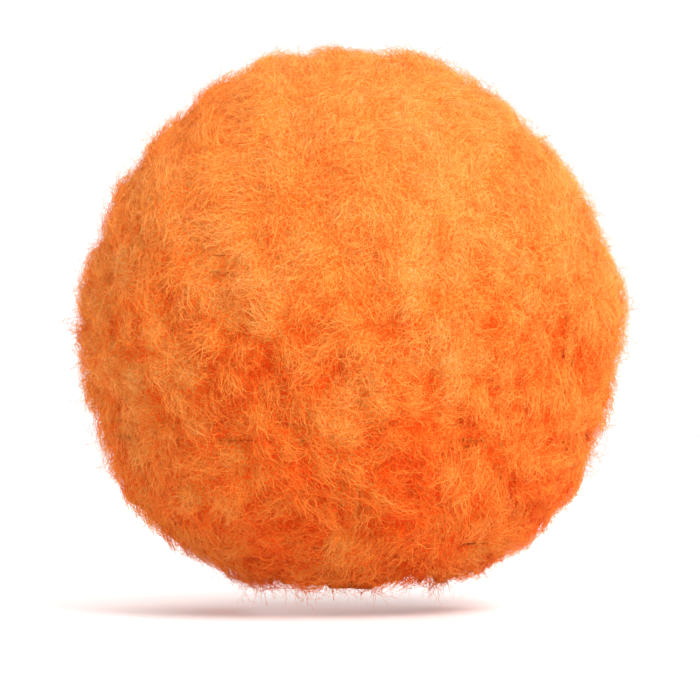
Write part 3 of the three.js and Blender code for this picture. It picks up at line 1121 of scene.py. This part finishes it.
front_seam = seam_bearings(FRONT_SEAM - SEAM_GAP)
round_front = (front_seam[0], [2 * math.pi - b for b in front_seam[1]])
nape_seam = seam_bearings(NAPE_SEAM + SEAM_GAP)
nape_right = (nape_seam[0], [-b for b in nape_seam[1]])
band_size = (BAND_WIDTH, BAND_LOW, BAND_HIGH)
band = strip("front_binding", band_place(front_seam, round_front), *band_size, 72, roll=0.5)
finish_piece(band, binding, "front_band")
print("front band:", round(band["length"] / MM), "mm long")
band = strip("nape_elastic_band", band_place(nape_right, nape_seam), *band_size, 64, roll=0.3)
finish_piece(band, nape_elastic, "nape_band")
side_seams = seam_bearings(NAPE_SEAM - SEAM_GAP), seam_bearings(FRONT_SEAM + SEAM_GAP)
SIDE_MIRRORS = (("left", 1), ("right", -1))
for side, mirror in SIDE_MIRRORS:
    band = strip(side + "_side_binding", band_place(*side_seams, mirror), *band_size, 48, roll=0.5)
    finish_piece(band, binding, side + "_side_band")

# %% [markdown]
# ## Stretch tapes
#
# Eight tapes run like the ribs of an umbrella from under the crown patch down to the edge. Each is sewn
# along its middle with a zigzag, which lets it stretch with the head.

# %% Tapes
STRAP_BEARINGS = {"back": 20, "side_back": 60, "side_front": 108, "front": 153}
LINING_SHARE, PATCH_SHARE = 0.025 / HALF_BREADTH, 0.032 / HALF_BREADTH
STRAP_START = math.acos(0.0254 / HALF_BREADTH)
STRAP_LOW, STRAP_HIGH = 0.0009, 0.0019
ON_BAND = 0.0004  # a tape or row ends this far above the strip under it


def tape_place(bearing):
    foot = follow(np.array(bearing), lambda y: rim_height(y, BAND_WIDTH + ON_BAND), 0.0014)[2]
    depth = UPPER_DEPTH if foot > WIDEST else LOWER_DEPTH
    tilt_end = math.asin((foot - WIDEST) / (depth + 0.0014))

    def place(along, across, off):
        tilt = STRAP_START + (tilt_end - STRAP_START) * along
        height = WIDEST + np.sin(tilt) * (np.where(tilt > 0, UPPER_DEPTH, LOWER_DEPTH) + off)
        middle = cap_point(bearing, height, off)
        reach = np.hypot(middle[..., 0], middle[..., 1])
        turn = np.arcsin((across - 0.5) * STRAP_WIDTH / reach)
        return cap_point(bearing + turn, height, off)

    return place


for spot, degrees in STRAP_BEARINGS.items():
    for side, mirror in SIDE_MIRRORS:
        place = tape_place(mirror * math.radians(degrees))
        tape = strip(f"{side}_{spot}_tape", place, STRAP_WIDTH, STRAP_LOW, STRAP_HIGH, 40)
        finish_piece(tape, webbing, f"{side}_{spot}_strap")
print("tapes:", 2 * len(STRAP_BEARINGS))

# %% [markdown]
# ## Hair headers
#
# Hair for a wig is first sewn into long strips, its root ends folded over and stitched down. These
# headers are then sewn round the cap in rows, one along the edge and ten above it. The dye shows in
# them, paler where the stitches draw the fibre together.

# %% Headers
ROWS = 10
ROW_BACK, ROW_FRONT = (-0.013, -0.152), (-0.009, -0.112)
TRACK_LOW, TRACK_HIGH = 0.0022, 0.0042


def row_line(row):
    share = row / (ROWS - 1)
    back = ROW_BACK[0] + (ROW_BACK[1] - ROW_BACK[0]) * share
    front = ROW_FRONT[0] + (ROW_FRONT[1] - ROW_FRONT[0]) * share
    slope = (back - front) / (2 * HALF_LENGTH)
    return lambda y: front + (y + HALF_LENGTH) * slope


def row_end(line):
    """The bearing where a row runs down to the edge row, or None for a row that goes all round."""
    bearing = np.linspace(0, math.pi, 400)
    at = follow(bearing, line, 0.0032)
    under = at[:, 2] < rim_height(at[:, 1], TRACK_WIDTH + ON_BAND)
    return bearing[under.argmax()] if under.any() else None


def row_place(line, end):
    reach = math.pi if end is None else end

    def place(along, across, off):
        bearing = (2 * along - 1) * reach
        return follow(bearing, lambda y: line(y) + across * TRACK_WIDTH, off + 0 * bearing)

    return place


track_size = (TRACK_WIDTH, TRACK_LOW, TRACK_HIGH)
for row in range(ROWS):
    line = row_line(row)
    end = row_end(line)
    made = strip(f"weft_row_{row + 1:02d}", row_place(line, end), *track_size, 110, end is None)
    finish_piece(made, header, f"weft_track_{row + 1:02d}")


def edge_row_place(along, across, off):
    bearing = (2 * along - 1) * math.pi
    return follow(bearing, lambda y: rim_height(y, across * TRACK_WIDTH), off + 0 * bearing)


made = strip("weft_row_edge", edge_row_place, *track_size, 160, True)
finish_piece(made, header, "edge_track")
print("rows:", ROWS + 1)

# %% [markdown]
# ## Crown
#
# A closed patch of net covers the place where the tapes meet, and a soft lining lies under it, where
# the wig rests on the head. Both are round, so each is a profile skinned from its middle outwards.


# %% Round cloths
def round_cloth(name, profile, steps=64):
    """Skins a profile of (share of the head's outline, off the head, lowest height) round the crown."""
    turn = np.linspace(0, 2 * math.pi, steps, endpoint=False)
    points, rings = [], []
    for share, off, floor in profile:
        height = WIDEST + (UPPER_DEPTH + off) * math.sqrt(1 - share**2)
        height = height if floor is None else min(height, floor)
        if share == 0:
            rings.append([len(points)])
            points.append((0, 0, height))
            continue
        rings.append(list(range(len(points), len(points) + steps)))
        points += [
            (share * (HALF_BREADTH + off) * math.sin(t), share * (HALF_LENGTH + off) * math.cos(t), height)
            for t in turn
        ]
    faces = []
    for a, b in zip(rings, rings[1:]):
        for i in range(steps):
            j = (i + 1) % steps
            corner = [a[i % len(a)], a[j % len(a)], b[j % len(b)], b[i % len(b)]]
            faces.append(tuple(dict.fromkeys(corner)))
    corners = [c for face in faces for c in face]
    return add_object(name, skinned(name, points, faces, [points[c][:2] for c in corners]))


def net_paint():
    """Warp knit: a honeycomb of fine cords with small holes."""
    paint = Paint("crown_net", Roughness=0.85, Specular_IOR_Level=0.3)
    along, across = cloth_axes(paint)
    turned = across * 0.577
    cell = wave(along + turned, 0.0016) * wave(along - turned, 0.0016) * wave(across, 0.0014)
    cord = (1 - cell * 2.4).clamp()
    paint.feed("Base Color", paint.ramp(cord, [(0.1, (0.006, 0.005, 0.005)), (0.8, (0.085, 0.074, 0.066))]))
    paint.bump(cord, 0.0005)
    return paint


def lining_paint():
    """Brushed knit, with a quilting stitch round its edge."""
    paint = Paint("crown_lining", Roughness=0.92, Sheen_Weight=0.35, Sheen_Roughness=0.4)
    along, across = cloth_axes(paint)
    nap = paint.noise(1400, 3, 0.7) * 0.7 + wave(along, 0.0009) * wave(across, 0.0009) * 0.6
    outline = ((along / HALF_BREADTH) ** 2.0 + (across / HALF_LENGTH) ** 2.0) ** 0.5
    ring = line_at(outline, LINING_SHARE * 0.9, 0.006)
    shade = paint.ramp(nap, [(0.15, (0.035, 0.029, 0.026)), (0.95, (0.12, 0.10, 0.09))])
    paint.feed("Base Color", shade)
    paint.bump(nap - ring * 2.5, 0.0004)
    return paint


def face_rings(edge, shares, off, floor=None):
    """The rings of a round cloth's upper or lower face, as shares of its edge."""
    return [(share * edge, off, floor) for share in shares]


# %% Crown pad and net
LINING_FLAT = 0.0  # the flat under the lining, which is the origin's height
upper = face_rings(LINING_SHARE, (0, 0.2, 0.4, 0.6, 0.8, 0.95), 0.0018)
edge = face_rings(LINING_SHARE, (1,), 0.0009)
lower = face_rings(LINING_SHARE, (0.95, 0.8, 0.68, 0.58, 0.5, 0.4, 0.2, 0), 0.0, LINING_FLAT)
lining = round_cloth("crown_pad", upper + edge + lower)
finish_piece(lining, lining_paint(), "crown_lining")
PATCH_RINGS = (0, 0.15, 0.3, 0.45, 0.6, 0.75, 0.9, 0.98)
upper = face_rings(PATCH_SHARE, PATCH_RINGS, 0.0034)
edge = face_rings(PATCH_SHARE, (1,), 0.0028)
lower = face_rings(PATCH_SHARE, PATCH_RINGS[::-1], 0.0022)
patch = round_cloth("crown_net", upper + edge + lower)
finish_piece(patch, net_paint(), "crown_patch")
PATCH_EASE = 0.004  # what the dome takes up when the flat net is laid over it
patch_size = [2 * PATCH_SHARE * half + PATCH_EASE for half in (HALF_BREADTH, HALF_LENGTH)]
math.pi / 4 * patch_size[0] * patch_size[1]
print("crown patch:", [round(s * 1000) for s in patch_size], "mm")

# %% [markdown]
# ## Ear tabs
#
# A cloth tongue hangs in front of each ear, with a flat steel stay in it that bends to the temple. The
# sleeve swells over the stay. Its top edge is sewn to the band. The sleeve is built where the tab hangs
# and stays there.

# %% Tabs
TAB_FRONT, TAB_BACK, TAB_BOTTOM, TAB_CORNER = -0.055, -0.027, -0.136, 0.009
TAB_MIDDLE = (TAB_FRONT + TAB_BACK) / 2
STAY_HALF, STAY_OUT, STAY_END = 0.003, 0.0034, 0.004
TAB_HINGE = 0.0015

def plain(point):
    return tuple(map(float, point))


def side_point(y, z, off, mirror):
    depth = np.where(z > WIDEST, UPPER_DEPTH, LOWER_DEPTH) + off
    x = np.sqrt(np.maximum(1 - (y / (HALF_LENGTH + off)) ** 2 - ((z - WIDEST) / depth) ** 2, 0))
    return np.stack([mirror * x * (HALF_BREADTH + off), y + 0 * x, z + 0 * x], -1)


def tab_place(mirror):
    def place(along, across, off):
        y = TAB_FRONT + (TAB_BACK - TAB_FRONT) * across
        top = rim_height(y, -0.00005)
        z = top + (TAB_BOTTOM - top) * along
        lift = np.maximum(TAB_CORNER - (z - TAB_BOTTOM), 0)
        inset = TAB_CORNER - np.sqrt(TAB_CORNER**2 - lift**2)
        y = TAB_MIDDLE + (y - TAB_MIDDLE) * (1 - 2 * inset / (TAB_BACK - TAB_FRONT))
        over = np.exp(-(((y - TAB_MIDDLE) / (STAY_HALF * 1.5)) ** 4))
        above = np.clip((rim_height(y, -0.003) - z) / 0.003, 0, 1)
        inside = above * np.clip((z - TAB_BOTTOM - STAY_END) / 0.003, 0, 1)
        swollen = np.where(off > 0.001, over * inside * (STAY_OUT - BAND_HIGH), 0)
        return side_point(y, z, off + swollen, mirror)

    return place


tab_cloth = cloth_paint(
    "tab_cloth",
    [
        lambda a, c: stitch_row(a, c, 0.0025),
        lambda a, c: stitch_row(a, c, 0.0255),
        lambda a, c: zigzag(a, c, 0.0085, 0.0),
    ],
    **SMOOTH_KNIT,
)


def hinge_point(mirror, rise):
    y = np.array(TAB_MIDDLE)
    return plain(side_point(y, rim_height(y, rise), 0.0011, mirror))


for side, mirror in SIDE_MIRRORS:
    name = side + "_tab_sleeve"
    tab = strip(name, tab_place(mirror), TAB_BACK - TAB_FRONT, BAND_LOW, BAND_HIGH, 34, wide_steps=18)
    tab.data.materials.append(tab_cloth.material)
    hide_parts(side + "_ear_tab")
    start, end = hinge_point(mirror, 0.0), hinge_point(mirror, -TAB_HINGE)
    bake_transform(tab)
    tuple(start)
    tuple(end)

# %% Stays

stay_steel = Paint("stay_steel", Metallic=1.0)
brushed = stay_steel.noise(900, 3, 0.6)
steel = [(0.2, (0.42, 0.42, 0.43)), (0.8, (0.62, 0.62, 0.63))]
stay_steel.feed("Base Color", stay_steel.ramp(brushed, steel))
stay_steel.feed("Roughness", 0.28 + brushed * 0.2)
for side in ("left", "right"):
    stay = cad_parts[side + "_ear_stay"]
    stay.data.materials.clear()
    stay.data.materials.append(stay_steel.material)
print("tab sleeves: 2, stays: 2")

# %% [markdown]
# ## Adjusters
#
# At the nape, an elastic on each side ends in a small plastic hook, which catches in one of five loops
# nearer the middle. The elastic runs from its fixed end to the hook and is built in place. The hook is
# built up from cells, so that its slot and its turned-in lip are real, and its edges are then rounded.

# %% Nape places
NAPE_Y, NAPE_RADIUS, NAPE_HEIGHT = 0.031, 0.0547, -0.160
TAPE_HEIGHT = 0.008
ELASTIC_FROM, HOOK_FROM, HOOK_TO, LOOPS_FROM, LOOPS_TO = map(math.radians, (60, 36, 29, 27, 4))


def nape_point(turn, z, off, mirror):
    """The point at an angle about the adjusters' own axis, at a height, off the head."""
    depth = LOWER_DEPTH + off
    ring = np.sqrt(1 - ((z - WIDEST) / depth) ** 2)
    a, b = (HALF_BREADTH + off) * ring, (HALF_LENGTH + off) * ring
    sine, cosine = np.sin(turn), np.cos(turn)
    p = (sine / a) ** 2 + (cosine / b) ** 2
    q = 2 * NAPE_Y * cosine / b**2
    r = (NAPE_Y / b) ** 2 - 1
    reach = (-q + np.sqrt(q * q - 4 * p * r)) / (2 * p)
    return np.stack([mirror * reach * sine, NAPE_Y + reach * cosine, z + 0 * reach], -1)


def nape_place(from_, to, mirror, high=TAPE_HEIGHT, arch=0.0):
    def place(along, across, off):
        turn = from_ + (to - from_) * along
        lift = arch * np.sin(math.pi * along)
        return nape_point(turn, NAPE_HEIGHT + (across - 0.5) * high, off - lift, mirror)

    return place


# %% Elastics
adjuster_cloth = cloth_paint(
    "adjuster_elastic", [], light=(0.075, 0.066, 0.06), rib=0.0016, pick=0.0006, depth=0.0004
)
ELASTIC_LOW, ELASTIC_HIGH = -0.0032, -0.0022
HOOK_END = HOOK_FROM + math.radians(0.6)
for side, mirror in SIDE_MIRRORS:
    place = nape_place(ELASTIC_FROM, HOOK_END, mirror)
    made = strip(side + "_elastic", place, TAPE_HEIGHT, ELASTIC_LOW, ELASTIC_HIGH, 30)
    made.data.materials.append(adjuster_cloth.material)
    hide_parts(side + "_adjuster_elastic")
    start, end = (
        plain(nape_point(np.array(turn), np.array(NAPE_HEIGHT), -0.0027, mirror))
        for turn in (ELASTIC_FROM - 0.03, HOOK_END + 0.004)
    )
    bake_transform(made)
    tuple(start)
    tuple(end)
print("elastics: 2")


# %% Hooks
def cell_solid(name, cuts, filled, place):
    """Skins the filled cells of a grid cut along three directions, then puts its points in place."""
    shape = bmesh.new()
    corner = {}

    def vertex(i, j, k):
        if (i, j, k) not in corner:
            corner[i, j, k] = shape.verts.new(place(cuts[0][i], cuts[1][j], cuts[2][k]))
        return corner[i, j, k]

    sides = {
        (-1, 0, 0): ((0, 0, 0), (0, 0, 1), (0, 1, 1), (0, 1, 0)),
        (1, 0, 0): ((1, 0, 0), (1, 1, 0), (1, 1, 1), (1, 0, 1)),
        (0, -1, 0): ((0, 0, 0), (1, 0, 0), (1, 0, 1), (0, 0, 1)),
        (0, 1, 0): ((0, 1, 0), (0, 1, 1), (1, 1, 1), (1, 1, 0)),
        (0, 0, -1): ((0, 0, 0), (0, 1, 0), (1, 1, 0), (1, 0, 0)),
        (0, 0, 1): ((0, 0, 1), (1, 0, 1), (1, 1, 1), (0, 1, 1)),
    }
    size = [range(len(c) - 1) for c in cuts]
    cells = {(i, j, k) for i in size[0] for j in size[1] for k in size[2] if filled(i, j, k)}
    for cell in cells:
        for way, ring in sides.items():
            if tuple(c + w for c, w in zip(cell, way)) not in cells:
                shape.faces.new([vertex(*(c + r for c, r in zip(cell, at))) for at in ring])
    bmesh.ops.recalc_face_normals(shape, faces=shape.faces)
    mesh = bpy.data.meshes.new(name)
    shape.to_mesh(mesh)
    shape.free()
    return add_object(name, mesh)


HOOK_OUTER = NAPE_RADIUS + ELASTIC_LOW - 0.0004
HOOK_THICK = 0.0012
HOOK_RADII = [HOOK_OUTER - 2 * HOOK_THICK, HOOK_OUTER - HOOK_THICK, HOOK_OUTER]
HOOK_TURNS = [HOOK_FROM, *map(math.radians, (35.0, 33.2, 32.2, 31.2, 30.3)), HOOK_TO]
HOOK_HEIGHTS = [NAPE_HEIGHT + h for h in (-0.0045, -0.003, 0.003, 0.0045)]
SLOT_CELL, LIP_CELL = (1, 1), 5

hook_plastic = Paint("hook_plastic", Specular_IOR_Level=0.5)
mould = hook_plastic.noise(700, 2)
moulded = [(0.2, (0.010, 0.010, 0.010)), (0.8, (0.022, 0.021, 0.020))]
hook_plastic.feed("Base Color", hook_plastic.ramp(mould, moulded))
hook_plastic.feed("Roughness", 0.32 + mould * 0.16)
hook_plastic.bump(mould, 0.00008)


def hook_filled(turn, height, layer):
    if layer == 0:
        return turn == LIP_CELL
    return (turn, height) != SLOT_CELL


def hook_place(mirror):
    return lambda turn, height, radius: (
        mirror * radius * math.sin(turn),
        NAPE_Y + radius * math.cos(turn),
        height,
    )


for side, mirror in SIDE_MIRRORS:
    cuts = (HOOK_TURNS, HOOK_HEIGHTS, HOOK_RADII)
    hook = cell_solid(side + "_hook", cuts, hook_filled, hook_place(mirror))
    apply_modifier(hook, "rounded_edges", "BEVEL", width=0.0003, segments=3, limit_method="ANGLE")
    bpy.ops.object.shade_smooth_by_angle(angle=math.radians(40))
    finish_piece(hook, hook_plastic, side + "_adjuster_hook", side + "_adjuster")
print("hook faces:", len(hook.data.polygons))

# %% Tapes of loops
LOOPS = 5
LOOP_ARCH = 0.0007


def join(pieces, name):
    deselect()
    for piece in pieces:
        piece.select_set(True)
    bpy.context.view_layer.objects.active = pieces[0]
    bpy.ops.object.join()
    pieces[0].name = name
    return pieces[0]


LOOP_TALL = TAPE_HEIGHT - 0.001
pitch = (LOOPS_FROM - LOOPS_TO) / LOOPS
for side, mirror in SIDE_MIRRORS:
    made = [strip("ground", nape_place(LOOPS_FROM, LOOPS_TO, mirror), TAPE_HEIGHT, -0.0006, 0.0, 40)]
    for loop in range(LOOPS):
        from_ = LOOPS_TO + (loop + 0.15) * pitch
        place = nape_place(from_, from_ + 0.7 * pitch, mirror, LOOP_TALL, LOOP_ARCH)
        made.append(strip("loop", place, LOOP_TALL, -0.00085, -0.0005, 12))
    tape = join(made, side + "_loops")
    finish_piece(tape, webbing, side + "_loop_tape")
print("loops:", 2 * LOOPS)

# %% [markdown]
# ## Label
#
# A blank satin label is sewn inside the back by its two ends.

# %% Label
LABEL_HALF, LABEL_TOP, LABEL_BOTTOM = 0.013, -0.124, -0.147
LABEL_TALL = LABEL_TOP - LABEL_BOTTOM


def label_place(along, across, off):
    x = LABEL_HALF * (2 * along - 1)
    z = LABEL_TOP + (LABEL_BOTTOM - LABEL_TOP) * across
    depth = LOWER_DEPTH + off
    share = 1 - (x / (HALF_BREADTH + off)) ** 2 - ((z - WIDEST) / depth) ** 2
    return np.stack([x + 0 * share, (HALF_LENGTH + off) * np.sqrt(share), z + 0 * share], -1)


satin = cloth_paint(
    "label_satin",
    [lambda a, c: stitch_row(c, a, 0.002), lambda a, c: stitch_row(c, a, 2 * LABEL_HALF - 0.002)],
    dark=(0.70, 0.68, 0.62),
    light=(0.86, 0.84, 0.79),
    thread=(0.93, 0.92, 0.90),
    rib=0.0005,
    pick=0.0004,
    roughness=0.42,
    depth=0.00008,
)
label = strip("satin_label", label_place, LABEL_TALL, -0.0007, -0.0003, 24)
finish_piece(label, satin, "care_label")
print("label:", round(LABEL_TALL * 1000), "by", round(2000 * LABEL_HALF), "mm")

# %% The two boxes as plain lists
plain = [[list(map(float, corner)) for corner in box] for box in (cad_box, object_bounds())]
